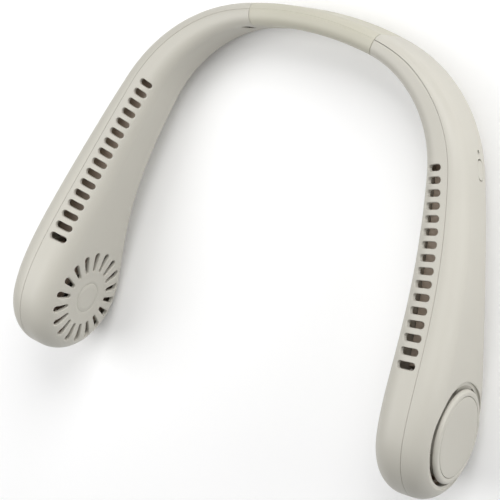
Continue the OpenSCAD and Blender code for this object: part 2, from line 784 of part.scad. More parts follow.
// Main board behind the power button, on two bosses of the outer shell
chip_w = 4;
chip_t = 0.9;
module main_board() {
    color(board_colour) at_face() difference() {
        union() {
            translate([-board_len/2, -board_w/2, -board_deep - board_t]) cube([board_len, board_w, board_t]);
            for (x = [-1.5*chip_w, 0.5*chip_w]) translate([x, -chip_w/2, -board_deep - board_t - chip_t])
                cube([chip_w, chip_w, chip_t]);
        }
        for (x = [-boss_x, boss_x]) translate([x, 0, -board_deep - board_t - over])
            cylinder(h = board_t + 2*over, r = board_screw_r + fit_gap, $fn = 16);
    }
}

module board_screws() {
    color(steel_colour) at_face() for (x = [-boss_x, boss_x]) translate([x, 0, -board_deep - board_t]) {
        cylinder(h = board_t + board_screw_len, r = board_screw_r, $fn = 16);
        translate([0, 0, -board_screw_r]) cylinder(h = board_screw_r, r = 2*board_screw_r, $fn = 24);
    }
}

// Switch on the board, and the button that pushes it
switch_w = 3.4;
switch_t = 1.2;
dome_r = 0.9;
dome_t = 0.3;
flange_t = 0.7;
flange_w = 0.5;
stem_r = 0.8;
flange_top = -wall - soft_gap;
switch_top = -board_deep + switch_t + dome_t;

module power_switch() {
    color(dark_colour) at_face() translate([0, 0, -board_deep]) union() {
        translate([-switch_w/2, -switch_w/2, 0]) cube([switch_w, switch_w, switch_t]);
        cylinder(h = switch_t + dome_t, r = dome_r, $fn = 32);
    }
}

module power_button() {
    cap_h = -fit_gap/2 - flange_top + flange_t;
    stem_low = switch_top + button_travel + fit_gap/2;
    color(shell_colour) at_face() union() {
        translate([0, 0, flange_top - flange_t + cap_h/2]) rotate(90) slot(button_len, button_w, cap_h/2);
        translate([0, 0, flange_top - flange_t/2]) rotate(90)
            slot(button_len + 2*flange_w, button_w + 2*flange_w, flange_t/2);
        translate([0, 0, stem_low]) cylinder(h = flange_top - stem_low, r = stem_r, $fn = 32);
    }
}

module status_lens() {
    color("#6d6a60") at_face() translate([lens_x, 0, soft_gap - board_deep])
        cylinder(h = board_deep - soft_gap + face_level(lens_x) - fit_gap, r = lens_r, $fn = 32);
}

neck_sleeve();
memory_wires();
neck_cable();
left_inner_shell();
left_outer_shell();
left_side() cap_rim();  // left_cap_rim
left_side() cap_plate();  // left_cap_plate
left_side() air_guide();  // left_air_guide
left_side() impeller();  // left_impeller
left_side() rotor_can();  // left_rotor_can
left_side() shaft();  // left_shaft
left_side() stator();  // left_stator
left_side() motor_base();  // left_motor_base
left_side() bearings();  // left_bearings
left_side() motor_screws();  // left_motor_screws
left_side() battery();  // left_battery
left_side() motor_lead();  // left_motor_lead
left_side() neck_plug();  // left_neck_plug
right_inner_shell();
right_outer_shell();
cap_rim();  // right_cap_rim
cap_plate();  // right_cap_plate
air_guide();  // right_air_guide
impeller();  // right_impeller
rotor_can();  // right_rotor_can
shaft();  // right_shaft
stator();  // right_stator
motor_base();  // right_motor_base
bearings();  // right_bearings
motor_screws();  // right_motor_screws
battery();  // right_battery
motor_lead();  // right_motor_lead
neck_plug();  // right_neck_plug
usb_port();
usb_board();
main_board();
board_screws();
power_switch();
power_button();
status_lens();
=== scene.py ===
# Fan worn round the neck: two hollow arms on a soft band, with a blower in the pod at the end of each arm.
# Lengths are in millimetres in the shape functions and become metres when a mesh is made.
import math
import bmesh
import bpy
import numpy as np
from mathutils import Matrix, Vector


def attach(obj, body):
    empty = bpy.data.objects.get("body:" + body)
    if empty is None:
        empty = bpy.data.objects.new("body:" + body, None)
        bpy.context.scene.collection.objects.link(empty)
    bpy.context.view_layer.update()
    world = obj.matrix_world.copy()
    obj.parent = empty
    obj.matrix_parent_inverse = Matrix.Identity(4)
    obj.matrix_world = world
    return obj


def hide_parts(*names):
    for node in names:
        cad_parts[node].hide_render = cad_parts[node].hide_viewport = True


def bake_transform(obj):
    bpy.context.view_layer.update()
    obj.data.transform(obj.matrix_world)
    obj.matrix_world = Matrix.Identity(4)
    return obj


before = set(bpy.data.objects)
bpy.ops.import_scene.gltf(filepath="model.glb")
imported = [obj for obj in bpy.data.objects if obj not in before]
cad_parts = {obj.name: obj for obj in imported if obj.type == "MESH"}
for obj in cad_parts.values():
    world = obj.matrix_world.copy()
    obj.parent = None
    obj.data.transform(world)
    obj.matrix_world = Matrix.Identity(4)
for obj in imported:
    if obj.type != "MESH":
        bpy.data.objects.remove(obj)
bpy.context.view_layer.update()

# Arm shells: an inner and an outer half on each arm, injection-moulded in matt ABS, which meet on a tongue
# along the arm and round the pod. The inner half has the air slots and the pod's grille, and the outer half
# the round recess of the cap. Each shell is worked out as a flat sheet, which skin lays over the arm.
nape_r, nape_half = 145.0, 30.5
shoulder_r, shoulder_len = 62.0, 66.0
arm_r, arm_len = 450.0, 101.0
band_h, band_t, pod_d, pod_t = 26.0, 9.6, 56.0, 25.6
band_edge, pod_edge, wall = 4.5, 10.5, 1.6
height_power, thickness_power, rise_share = 2.8, 0.7, 3.3
shoulder_end = nape_half + shoulder_len
total = shoulder_end + arm_len
quarter = math.pi/2


def plan(s):
    """Plan of the arms: three arcs, each with its centre on the last normal of the one before.
    Returns places and headings at lengths s from the middle of the band."""
    first = nape_half/nape_r
    second = first + shoulder_len/shoulder_r
    parts = [s <= nape_half, s <= shoulder_end]
    turn = np.select(parts, [s/nape_r, first + (s - nape_half)/shoulder_r], second + (s - shoulder_end)/arm_r)
    nape = np.array([0, -nape_r])
    shoulder = nape + (nape_r - shoulder_r)*np.array([math.sin(first), math.cos(first)])
    arm = shoulder + (shoulder_r - arm_r)*np.array([math.sin(second), math.cos(second)])
    r = np.select(parts, [nape_r, shoulder_r], arm_r)
    x = np.select(parts, [nape[0], shoulder[0]], arm[0]) + r*np.sin(turn)
    y = np.select(parts, [nape[1], shoulder[1]], arm[1]) + r*np.cos(turn)
    return x, y, turn


def section(s):
    """Half the thickness a, half the height b and the edge radius r of the arm. The first two grow by an
    eased power of the share of the way from the band to the pod's centre, and the radius grows evenly."""
    t = np.clip((s - nape_half)/(total - nape_half), 0, 1)
    grow = lambda p: p*p*(3 - 2*p)
    a = (band_t + (pod_t - band_t)*grow(t**thickness_power))/2
    b = (band_h + (pod_d - band_h)*grow(t**height_power))/2
    return a, b, band_edge + (pod_edge - band_edge)*t


def axes(s):
    """Middle of the arm at s, and its directions along, outward and upward. The middle rises by a cubic, and
    the whole plan is moved so that the part's box is centred."""
    s = np.asarray(s, float)
    x, y, turn = plan(s)
    t = np.clip((s - nape_half)/(total - nape_half), 0, 1)
    rise = (pod_d - band_h)/2
    z = band_h/2 + rise*(rise_share*t**2 + (1 - rise_share)*t**3)
    slope = rise*(2*rise_share*t + 3*(1 - rise_share)*t**2)/(total - nape_half)
    _, end_y, end_turn = plan(np.array(total))
    front = (pod_d/2 - pod_edge)*math.sin(end_turn) + (pod_t/2 - pod_edge)*math.cos(end_turn) + pod_edge
    middle_y = (band_t/2 + end_y - front)/2
    along = np.stack([np.cos(turn), -np.sin(turn), slope], -1)
    along /= np.linalg.norm(along, axis=-1, keepdims=True)
    outward = np.stack([np.sin(turn), np.cos(turn), 0*turn], -1)
    return np.stack([x, y - middle_y, z], -1), along, outward, np.cross(along, outward)


def skin(flat, depth, face):
    """Sheet places laid on the arm. Their x runs along the arm up to the pod's centre, and y from the middle
    line of the face: out over the face, round its edge by an arc, over the flat top and round the far edge,
    then depth inward along the normal. Past the centre the distance from it is what y is elsewhere. face is 1
    for the outer shell and -1 for the inner."""
    x, y = flat[..., 0], flat[..., 1]
    s = total + np.minimum(x, 0)
    round_end = x > 0
    w = np.where(round_end, np.hypot(x, y), np.abs(y))
    safe = np.maximum(w, 1e-9)
    up = np.where(round_end, y/safe, np.where(y < 0, -1, 1))
    forth = np.where(round_end, x/safe, 0)
    a, b, r = section(s)
    past = w - (b - r)
    turn = np.clip(past/r, 0, quarter) + np.clip((past - r*quarter - 2*(a - r))/r, 0, quarter)
    h = np.minimum(w, b - r) + (r - depth)*np.sin(turn)
    n = a - r - np.clip(past - r*quarter, 0, 2*(a - r)) + (r - depth)*np.cos(turn)
    p, along, outward, upward = axes(s)
    return p + (face*n)[..., None]*outward + h[..., None]*(up[..., None]*upward + forth[..., None]*along)


def reach(s, n):
    """Length of the way over the skin from the face's middle line to where the distance from the arm's middle
    plane has come down to n, the inverse of the way that skin goes."""
    a, b, r = section(s)
    near = np.arccos(np.clip((n - (a - r))/r, 0, 1))
    far = np.arcsin(np.clip((-(a - r) - n)/r, 0, 1))
    return b - r + r*near + np.clip(a - r - n, 0, 2*(a - r)) + r*far


def from_axis(seen, depth, face):
    """Sheet places of points seen along the pod's axis, in millimetres forward and up from it, found by
    forty steps, each by what is still missing."""
    p0, along, outward, upward = axes(total)
    a, b, r = section(total)
    ahead = seen[..., 0] > 0
    far = np.where(ahead, np.hypot(seen[..., 0], seen[..., 1]), np.abs(seen[..., 1]))
    w = np.where(far < b - r, far, b - r + r*np.arcsin(np.clip((far - (b - r))/r, -1, 1)))
    stretch = w/np.maximum(far, 1e-9)
    flat = np.stack([np.where(ahead, seen[..., 0]*stretch, seen[..., 0]), seen[..., 1]*stretch], -1)
    for _ in range(40):
        p = skin(flat, depth, face) - p0
        flat = flat + seen - np.stack([p @ along, p @ upward], -1)
    return flat


def quads(grid, wrap=False, skip=None):
    """Faces of a grid of points, closed along its second direction if wrap is set, without those in skip."""
    n, m = grid.shape[:2]
    ids = np.arange(n*m).reshape(n, m)
    if wrap:
        ids = np.concatenate([ids, ids[:, :1]], 1)
    faces = np.stack([ids[:-1, :-1], ids[1:, :-1], ids[1:, 1:], ids[:-1, 1:]], -1)
    return grid.reshape(-1, 3), faces[~skip] if skip is not None else faces.reshape(-1, 4)


def solid(name, parts, mirrored=False):
    """One smooth mesh from patches of points and faces: points in the same place are merged, and faces are
    turned outward. Edges sharper than a limit stay sharp."""
    same_place, sharp_turn = 2e-7, math.radians(40)
    points = np.concatenate([p for p, _ in parts])*([-0.001 if mirrored else 0.001, 0.001, 0.001])
    starts = np.cumsum([0] + [len(p) for p, _ in parts])
    faces = [row for (_, f), start in zip(parts, starts) for row in (np.asarray(f) + start).tolist()]
    mesh = bpy.data.meshes.new(name)
    mesh.from_pydata(points, [], faces)
    bm = bmesh.new()
    bm.from_mesh(mesh)
    bmesh.ops.remove_doubles(bm, verts=bm.verts, dist=same_place)
    bmesh.ops.recalc_face_normals(bm, faces=bm.faces)
    if bm.calc_volume(signed=True) < 0:
        bmesh.ops.reverse_faces(bm, faces=bm.faces)
    bm.to_mesh(mesh)
    bm.free()
    mesh.polygons.foreach_set("use_smooth", np.ones(len(mesh.polygons), bool))
    mesh.set_sharp_from_angle(angle=sharp_turn)
    piece = bpy.data.objects.new(name, mesh)
    bpy.context.scene.collection.objects.link(piece)
    return piece


def hole_rings(edge, ends, radii, place, lip):
    """Rings of sheet points from the edge of a cell to its hole's rounded lip, down the wall and back under
    it. Each point of the edge looks at the nearest point of the hole's middle line: the rim lies between
    them, at the hole's radius there. place turns seen points into sheet places."""
    edge = np.asarray(edge, float)
    start, end = np.array(ends, float)
    line = end - start
    t = np.clip((edge - start) @ line/max(line @ line, 1e-9), 0, 1)
    middle = start + t[:, None]*line
    out = edge - middle
    r = (radii[0] + (radii[1] - radii[0])*t)[:, None]
    rim = middle + r*out/np.linalg.norm(out, axis=1, keepdims=True)
    edge, rim = place(edge), place(rim)
    tangent = np.roll(rim, -1, 0) - np.roll(rim, 1, 0)
    normal = np.stack([tangent[:, 1], -tangent[:, 0]], -1)/np.linalg.norm(tangent, axis=1, keepdims=True)
    normal *= np.sign(((edge - rim)*normal).sum(1).sum())
    lip_turns = quarter*np.arange(1, 6)/5
    rings = [(edge + (rim + lip*normal - edge)*t, 0) for t in (0, 1/3, 2/3, 1)]
    rings += [(rim + lip*(1 - math.sin(v))*normal, lip*(1 - math.cos(v))) for v in lip_turns]
    rings += [(rim, wall)] + [(rim + (edge - rim)*t, wall) for t in (1/3, 2/3, 1)]
    return rings


def lift(rings, face):
    """Rings of sheet places, each with its depth, laid on the arm and closed into faces."""
    placed = [skin(flat, np.full(len(flat), float(depth)), face) for flat, depth in rings]
    return quads(np.stack(placed), wrap=True)


# Parting line: how far it lies from the arm's middle plane, its gap, which widens beside the band on the
# right arm, and the tongue under it
seam_offset, seam_share = 2.4, 0.42
seam_gap, band_seam_gap, band_seam_reach = 0.1, 0.12, 25
tongue_h, tongue_gap, seam_edge_r = 1.0, 0.1, 0.15
end_round = 0.2
fillet = quarter*np.arange(5)/4


def seam_offset_at(s):
    """Distance of the parting line from the arm's middle plane."""
    return np.minimum(seam_offset, section(s)[0]*seam_share)


def seam_at(s, inner, mirrored):
    """Length of the way over the skin from the face's middle line to the half's edge at the parting line."""
    gap = seam_gap + (0 if mirrored else band_seam_gap)*np.exp(-((s - nape_half)/band_seam_reach)**2)
    return reach(s, -seam_offset_at(s) if inner else seam_offset_at(s) + gap)


# Rows of the sheet on each side of its middle line: over the flat face, into the edge up to the knee, and on
# to the strip along the parting line
inner_rows, outer_rows = (13, 6, 12), (10, 2, 12)
inner_knee, outer_knee = math.radians(32), math.radians(12)
inner_strip_n, outer_strip_w = -1.2, 1.5


def sheet_rows(s, inner, mirrored):
    """Distances of the rows from the sheet's middle line at lengths s, evenly spaced in each stretch."""
    a, b, r = section(s)
    flat = b - r
    knee = flat + r*(inner_knee if inner else outer_knee)
    last = reach(s, np.full_like(s, inner_strip_n)) if inner else seam_at(s, inner, mirrored) - outer_strip_w
    face_rows, edge_rows, last_rows = inner_rows if inner else outer_rows
    return np.concatenate([flat[:, None]*np.arange(face_rows)/face_rows,
                           flat[:, None] + (knee - flat)[:, None]*np.arange(edge_rows)/edge_rows,
                           knee[:, None] + (last - knee)[:, None]*np.arange(last_rows + 1)/last_rows], 1)


# Openings: the row of air slots, the charging port, and on the right arm the power button and its lens. In
# their names s and y are lengths along and across the sheet. Each has a cell of the sheet to itself, from one
# of its lines to another and between two rows, which are counted from the middle row.
slot_from, slot_pitch, slot_count, slot_steps = 91.95, 5.1, 16, 8
slot_len, slot_end_gap, slot_n, slot_r, slot_lip = 8.6, 26.5, 3.8, 1.4, 0.45
port_s, port_y, port_half, port_r, port_lip = 37, 3, 2.9, 1.7, 0.25
button_s, face_y, button_len, button_w, button_gap, button_lip = 94.5, -3.5, 8, 4.4, 0.1, 0.1
lens_s, lens_hole_r, lens_lip = 88.1, 0.9, 0.12
lens_cell_from, button_cell_from, button_cell_to = 86.8, 89.4, 99.6
port_lines, port_rows, button_rows, lens_rows = (2, 7), (-5, 14), (-12, 1), (-8, -3)


def openings(s, half, inner, mirrored):
    """The openings of a shell: first and last line and row of the cell, the ends of the hole's middle line,
    its radius, its lip, and whether it is shaped as seen from above. half is the number of the middle row."""
    line_at = lambda v: int(np.argmin(abs(s - v)))
    rows_at = lambda rows: (half + rows[0], half + rows[1])
    cells = []
    if inner:
        end_thickness = section(np.array(total - slot_end_gap))[0]
        rows = (half + sum(inner_rows[:2]), 2*half)
        for k in range(slot_count):
            i = line_at(slot_from + slot_pitch*k)
            middle = slot_from + slot_pitch*(k + 0.5)
            long = slot_len*section(np.array(middle))[0]/end_thickness
            ends = [[middle - total, -slot_n - long/2 + slot_r], [middle - total, -slot_n + long/2 - slot_r]]
            cells.append(((i, i + slot_steps), rows, ends, slot_r, slot_lip, True))
        if mirrored:
            lines = [len(fillet) - 1 + line for line in port_lines]
            ends = [[port_s - total, port_y - port_half], [port_s - total, port_y + port_half]]
            cells.append((lines, rows_at(port_rows), ends, port_r, port_lip, False))
    elif not mirrored:
        lens_line, button_line = line_at(lens_cell_from), line_at(button_cell_from)
        straight = (button_len - button_w)/2
        ends = [[button_s - straight - total, face_y], [button_s + straight - total, face_y]]
        lines = (button_line, line_at(button_cell_to))
        cells.append((lines, rows_at(button_rows), ends, button_w/2 + button_gap, button_lip, False))
        ends = [[lens_s - total, face_y]]*2
        cells.append(((lens_line, button_line), rows_at(lens_rows), ends, lens_hole_r, lens_lip, False))
    return cells


def seen_above(p):
    """Sheet places on the upper edge as seen from above: their x, and how far inward of the arm's middle
    plane they lie, as a negative number."""
    a, b, r = section(total + p[:, 0])
    past = p[:, 1] - (b - r)
    n = a - r - np.clip(past - r*quarter, 0, None) + r*np.cos(np.clip(past/r, 0, quarter))
    return np.stack([p[:, 0], -n], -1)


def laid_back(p):
    """Points seen from above put back on the sheet, the inverse of seen_above."""
    return np.stack([p[:, 0], reach(total + p[:, 0], -p[:, 1])], -1)


# Round part of the pod's faces, inside the rim: it is divided into even steps about the pod's axis
rim_r, round_count = 24.0, 180
half_count = round_count//2
pod_turn = 2*math.pi*np.arange(round_count)/round_count
pod_middle, pod_along, pod_outward, pod_upward = axes(total)
pod_spokes = np.sin(pod_turn)[:, None]*pod_along + np.cos(pod_turn)[:, None]*pod_upward


def around(r, turn):
    """Points at radius r about the pod's axis, as seen along it."""
    return np.stack([r*np.sin(turn), r*np.cos(turn)], -1)


def pod_circle(r, depth, face):
    """Sheet places of a circle about the pod's axis, as seen along it, at a depth under the skin."""
    return from_axis(around(r, pod_turn), np.full(round_count, depth), face)


# Grille: 18 slots that widen outward, each in a sector of ten steps, round a plain disc with a fine groove
grille_count, sector_steps, sector_rings = 18, 10, 12
disc_r, near_r, far_r, grille_radii, grille_lip = 11.9, 13.8, 20.3, (0.8, 1.5), 0.5
groove_out, groove_in, groove_depth, groove_step = 7.3, 6.5, 0.2, 0.15


def grille():
    """Patches of the inner shell inside the rim: the slots' sectors, the disc's outside and its underside."""
    face = -1
    parts = []
    place = lambda p: from_axis(p, np.zeros(len(p)), face)
    r = np.linspace(disc_r, rim_r, sector_rings + 1)
    for k in range(grille_count):
        v = pod_turn[(np.arange(sector_steps + 1) + sector_steps*k) % round_count]
        edge = np.concatenate([around(disc_r, v[:-1]), around(r[:-1], v[-1]),
                               around(rim_r, v[:0:-1]), around(r[:0:-1], v[0])])
        middle = pod_turn[sector_steps*k + sector_steps//2]
        ends = [around(near_r, middle), around(far_r, middle)]
        parts.append(lift(hole_rings(edge, ends, grille_radii, place, grille_lip), face))
    outside = [(disc_r, 0), (10.2, 0), (8.4, 0), (groove_out, 0),
               (groove_out - groove_step, groove_depth/2), (groove_out - 2*groove_step, groove_depth),
               (groove_in + 2*groove_step, groove_depth), (groove_in + groove_step, groove_depth/2),
               (groove_in, 0), (4.5, 0), (2.2, 0), (0, 0)]
    underside = [(disc_r, wall), (8, wall), (4, wall), (0, wall)]
    for line in (outside, underside):
        rings = [(pod_circle(r, 0.0, face), depth) for r, depth in line]
        parts.append(lift(rings, face))
    return parts


# Recess: radii from the pod's axis and levels n from the arm's middle plane, from the rounded lip over the
# ledge and the ring-shaped intake to the floor that carries the cap. Three bridges cross the intake, each
# given by its first and last step round the axis.
ledge_r, ledge_n, ledge_edge, lip_w, lip_h, lip_steps, foot = 22.0, 11.3, 0.15, 0.9, 0.25, 9, 0.2
gap_out, gap_in, cup_r, floor_edge, floor_r = 20.6, 17.3, 22.2, 0.1, 12
floor_n, bridge_n, under_n = 10.4, 10.2, 9.0
bridges = ((6, 14), (66, 74), (120, 140))


def recess(rim):
    """Patches of the outer shell inside the rim, which is given by its sheet places."""
    face = 1
    parts = []
    walled = np.full(round_count, wall)
    all_round = lambda n: np.broadcast_to(n, (round_count,))[:, None]
    ring_at = lambda r, n: pod_middle + all_round(n)*pod_outward + r*pod_spokes
    ring_on_skin = lambda r: skin(pod_circle(r, 0.0, face), np.zeros(round_count), face)
    rings = [ring_on_skin(rim_r)]
    for v in quarter*np.arange(lip_steps + 1)/lip_steps:
        r = ledge_r + lip_w*(1 - math.sin(v))
        skin_n = (ring_on_skin(r) - pod_middle) @ pod_outward
        rings.append(ring_at(r, skin_n - lip_h*(1 - math.cos(v))))
    rings += [ring_at(ledge_r - foot*(1 - math.cos(v)), ledge_n + foot*(1 - math.sin(v))) for v in fillet]
    ledge_low = ledge_n - ledge_edge
    rings += [ring_at(gap_out + ledge_edge, ledge_n), ring_at(gap_out, ledge_low)]
    under = [ring_at(gap_out, under_n), ring_at(cup_r, under_n),
             skin(pod_circle(cup_r, wall, face), walled, face), skin(rim, walled, face)]
    floor = [ring_at(gap_in, bridge_n), ring_at(gap_in, floor_n - floor_edge),
             ring_at(gap_in - floor_edge, floor_n), ring_at(floor_r, floor_n), ring_at(0, floor_n)]
    floor_under = [ring_at(gap_in, under_n), ring_at(floor_r, under_n), ring_at(0, under_n)]
    for line in (rings, under, floor, floor_under):
        parts.append(quads(np.stack(line), wrap=True))
    bridge = np.zeros(round_count, bool)
    for first, last in bridges:
        bridge[first:last] = True
    outer_wall = np.stack([ring_at(gap_out, ledge_low), ring_at(gap_out, under_n)])
    inner_wall = np.stack([ring_at(gap_in, bridge_n), ring_at(gap_in, under_n)])
    tops = np.stack([ring_at(gap_out, ledge_low), ring_at(gap_in, bridge_n)])
    lows = np.stack([ring_at(gap_out, under_n), ring_at(gap_in, under_n)])
    for grid, left_out in ((outer_wall, bridge), (inner_wall, bridge), (tops, ~bridge), (lows, ~bridge)):
        parts.append(quads(grid, wrap=True, skip=left_out[None]))
    for side in np.ravel(bridges):
        parts.append(quads(np.stack([tops[:, side], lows[:, side]])))
    return parts


# Lines across the sheet, in even steps from one of its places to the next. At the last place starts the block
# of faces round the pod's rim, with its own steps. The inner shell's lines bulge away from the grille there.
block_len, block_layers = 30.0, 12
inner_places = [nape_half, slot_from, slot_from + slot_count*slot_pitch]
inner_steps, inner_block = [44, slot_count*slot_steps], 14
outer_places = [nape_half, lens_cell_from, button_cell_from, button_cell_to, total - block_len]
outer_steps, outer_block = [38, 4, 14, 48], 21
bulge, bulge_w, bulge_from, bulge_len = 4, 11.5, 64, 40


def shell(face, mirrored):
    """All the patches of one shell."""
    inner = face < 0
    places = inner_places if inner else outer_places
    steps, block = (inner_steps, inner_block) if inner else (outer_steps, outer_block)
    stretches = [np.linspace(a, b, n + 1)[1:] for a, b, n in zip(places, places[1:], steps)]
    s = np.concatenate([nape_half + end_round*(1 - np.sin(fillet[::-1]))] + stretches)
    end_depth = np.zeros(len(s))
    end_depth[:len(fillet)] = end_round*(1 - np.cos(fillet[::-1]))
    w = sheet_rows(s, inner, mirrored)
    half = w.shape[1] - 1
    y = np.concatenate([-w[:, :0:-1], w], 1)
    x = np.repeat((s - total)[:, None], y.shape[1], 1)
    if inner:
        calm = np.clip(1 - (y/bulge_w)**2, 0, 1)**2
        x = x - bulge*calm*np.clip((x + bulge_from)/bulge_len, 0, 1)**2
    flat = np.stack([x, y], -1)
    depth = np.repeat(end_depth[:, None], y.shape[1], 1)

    # the sheet outside and inside, its openings, and the narrow face that closes it beside the band
    parts = []
    skip = np.zeros((len(s) - 1, 2*half), bool)
    for (i0, i1), (k0, k1), ends, r, lip, above in openings(s, half, inner, mirrored):
        skip[i0:i1, k0:k1] = True
        edge = np.concatenate([flat[i0:i1, k0], flat[i1, k0:k1], flat[i1:i0:-1, k1], flat[i0, k1:k0:-1]])
        seen, place = (seen_above, laid_back) if above else (lambda p: p, lambda p: p)
        parts.append(lift(hole_rings(seen(edge), ends, (r, r), place, lip), face))
    for level in (0, wall):
        parts.append(quads(skin(flat, np.maximum(depth, level), face), skip=skip))
    end = [skin(flat[0], level, face) for level in (depth[0], np.full(2*half + 1, wall))]
    parts.append(quads(np.stack(end)))

    # round end: from the rim out to the last line, the last rows and the front
    s_block = np.linspace(s[-1], total, block + 1)
    w_block = sheet_rows(s_block, inner, mirrored)[:, -1]
    top = np.stack([s_block - total, w_block], -1)
    low = np.stack([s_block - total, -w_block], -1)[::-1]
    front = around(w_block[-1], pod_turn[:half_count + 1])
    outside = np.concatenate([front[:-1], low[:-1], flat[-1][:-1], top[:-1]])
    rim = pod_circle(rim_r, 0.0, face)
    t = np.linspace(0, 1, block_layers + 1)[:, None, None]
    block_flat = outside*(1 - t) + rim*t
    for level in (0.0, wall):
        parts.append(quads(skin(block_flat, np.full(block_flat.shape[:2], level), face), wrap=True))

    # strip along the parting line: upper side, round the front, lower side, with the tongue or its groove
    ahead = pod_turn[1:half_count]
    s_all = np.concatenate([s, s_block[1:], np.full(len(ahead), total), s_block[::-1][:-1], s[::-1]])
    straight = len(s) + block
    forth = np.concatenate([np.zeros(straight), np.sin(ahead), np.zeros(straight)])
    up = np.concatenate([np.ones(straight), np.cos(ahead), np.full(straight, -1.0)])
    depth_all = np.concatenate([end_depth, np.zeros(len(s_all) - 2*len(s)), end_depth[::-1]])
    w_front = np.full(len(ahead), w_block[-1])
    w_out = np.concatenate([w[:, -1], w_block[1:], w_front, w_block[::-1][:-1], w[::-1, -1]])
    w_seam = seam_at(s_all, inner, mirrored)
    step = np.minimum(tongue_h, (section(s_all)[0] - wall - seam_offset_at(s_all))/2)
    tongue_depth = wall/2 if inner else wall/2 - tongue_gap
    tongue_end = w_seam + step if inner else w_seam - step - tongue_gap
    chain = [(w_out + (w_seam - seam_edge_r - w_out)*t, 0) for t in (0, 1/3, 2/3)]
    chain += [(w_seam - seam_edge_r*(1 - math.sin(v)), seam_edge_r*(1 - math.cos(v))) for v in fillet]
    chain += [(w_seam, tongue_depth), (tongue_end, tongue_depth), (tongue_end, wall)]
    chain += [(w_seam, wall)] if inner else []
    chain += [((w_seam if inner else tongue_end)*0.5 + w_out*0.5, wall), (w_out, wall)]
    columns = np.stack([w_column for w_column, _ in chain])
    levels = np.stack([np.maximum(float(level), depth_all) if level < wall else np.full(len(s_all), wall)
                       for _, level in chain])
    placed = skin(np.stack([s_all - total + columns*forth, columns*up], -1), levels, face)
    parts.append(quads(placed))
    for column in (0, -1):
        parts.append((placed[:, column], [list(range(len(chain)))]))
    return parts + (grille() if inner else recess(rim))


def colour(code):
    """Linear colour of an sRGB hex value."""
    v = np.array([int(code[i:i + 2], 16) for i in (1, 3, 5)])/255
    return (*np.where(v <= 0.04045, v/12.92, ((v + 0.055)/1.055)**2.4), 1)


def add(tree, kind, values=None, links=None):
    """Adds a node to a material, with its socket values and links."""
    made = tree.nodes.new(kind)
    for socket, value in (values or {}).items():
        made.inputs[socket].default_value = value
    for socket, source in (links or {}).items():
        tree.links.new(source, made.inputs[socket])
    return made


def finish(name, light, dark, roughness, ior, patch_mm, grain_mm, grain_depth_mm, **sockets):
    """A moulded or worked surface: its colour drifts between two near tones over patches of the given size,
    its roughness drifts with it, and a fine grain gives it a bump."""
    spread = 0.04
    material = bpy.data.materials.new(name)
    material.use_nodes = True
    tree = material.node_tree
    shader = tree.nodes["Principled BSDF"]
    place = add(tree, "ShaderNodeTexCoord").outputs["Object"]
    patches = add(tree, "ShaderNodeTexNoise", {"Scale": 1000/patch_mm, "Detail": 3}, {"Vector": place})
    ramp = add(tree, "ShaderNodeValToRGB", links={"Fac": patches.outputs["Fac"]})
    for element, position, code in zip(ramp.color_ramp.elements, (0.3, 0.7), (dark, light)):
        element.position, element.color = position, colour(code)
    rough = add(tree, "ShaderNodeMapRange", {"To Min": roughness - spread, "To Max": roughness + spread},
                {"Value": patches.outputs["Fac"]})
    grain = add(tree, "ShaderNodeTexNoise", {"Scale": 1000/grain_mm, "Detail": 2, "Roughness": 0.6},
                {"Vector": place})
    bump = add(tree, "ShaderNodeBump", {"Strength": 1, "Distance": grain_depth_mm*0.001},
               {"Height": grain.outputs["Fac"]})
    tree.links.new(ramp.outputs["Color"], shader.inputs["Base Color"])
    tree.links.new(rough.outputs["Result"], shader.inputs["Roughness"])
    tree.links.new(bump.outputs["Normal"], shader.inputs["Normal"])
    shader.inputs["IOR"].default_value = ior
    for socket, value in sockets.items():
        shader.inputs[socket.replace("_", " ")].default_value = value
    return material


# Spark-eroded ABS: a matt greige with a soft, wide highlight. The real grain is about 0.05 mm wide, too fine
# to show, so it is drawn at 0.3 mm and very shallow.
abs_plastic = finish("moulded_abs", "#c0bdb3", "#bdbab0", 0.46, 1.53, 45, 0.3, 0.004)
for side, mirrored in (("left", True), ("right", False)):
    for half, face in (("inner", -1), ("outer", 1)):
        piece = solid(f"{side}_{half}_half", shell(face, mirrored), mirrored)
        piece.data.materials.append(abs_plastic)
        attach(piece, f"{side}_arm")
        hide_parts(f"{side}_{half}_shell")


# Band: a hollow silicone sleeve between the arms, moulded round its cavity, with two steel wires inside that
# keep its bend and a cable from arm to arm. It is made as two halves, each bending to the arm on its side.
end_gap, sleeve_wall, band_steps, cavity_steps = 0.15, 1.5, 39, 20
band_end = nape_half - end_gap
mould_n, mould_depth, mould_w, mould_side, mould_h = 2.0, 0.16, 0.13, 0.45, 8
outline_count, fine_count, least_step = 120, 4000, 0.003
wire_r, wire_h, cable_r, tube_sides, tube_steps = 0.8, 6, 1.2, 16, 23


def rounded(w, h, r, shares):
    """Points round a rectangle with round corners, at shares of its outline: straight sides and quarter
    circles in turn, from the lower end of the outer side."""
    straight = np.array([h - 2*r, w - 2*r]*2)
    marks = np.concatenate([[0], np.cumsum(np.stack([straight, np.full(4, r*quarter)], -1).ravel())])
    q = shares*marks[-1]
    k = np.searchsorted(marks, q, "right") - 1
    t, side = (q - marks[k])[:, None], k//2
    corner = np.array([[w/2 - r, h/2 - r], [r - w/2, h/2 - r], [r - w/2, r - h/2], [w/2 - r, r - h/2]])[side]
    out = np.stack([np.cos(side*quarter), np.sin(side*quarter)], -1)
    go = np.stack([-out[:, 1], out[:, 0]], -1)
    return corner + np.where((k % 2 == 0)[:, None], r*out + (t - straight[side][:, None])*go,
                             r*(np.cos(t/r)*out + np.sin(t/r)*go))


